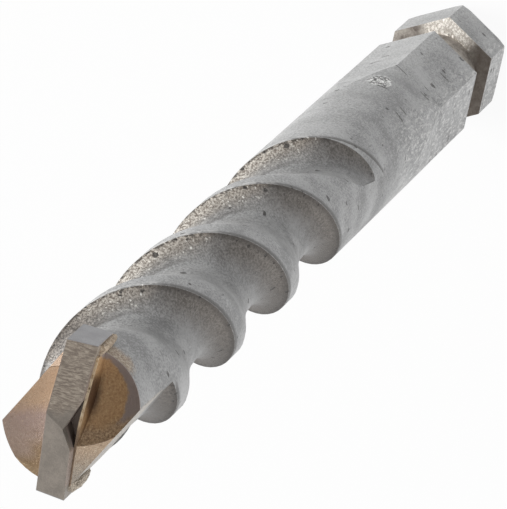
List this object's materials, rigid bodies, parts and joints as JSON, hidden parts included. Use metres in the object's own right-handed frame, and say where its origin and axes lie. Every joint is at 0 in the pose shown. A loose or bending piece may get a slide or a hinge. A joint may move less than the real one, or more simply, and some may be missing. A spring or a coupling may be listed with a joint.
{
  "type": "masonry drill bit",
  "caption": "fluted steel drill bit with a brazed carbide plate across the point and a hexagonal shank with a retaining groove",
  "frame": {"origin": "centre of the flat hexagonal end face of the shank, on which the bit stands", "axes": "+Z along the axis from the shank to the point; the carbide plate lies along X; two hexagon corners lie on X"},
  "size_m": [0.0126, 0.011, 0.125],
  "materials": {
    "steel": "blasted satin steel, worn",
    "carbide": "ground hard metal",
    "braze": "heat-stained filler metal"
  },
  "bodies": {
    "root": {"steel_body": "steel", "carbide_plate": "carbide", "braze_joint": "braze"}
  },
  "joints": []
}
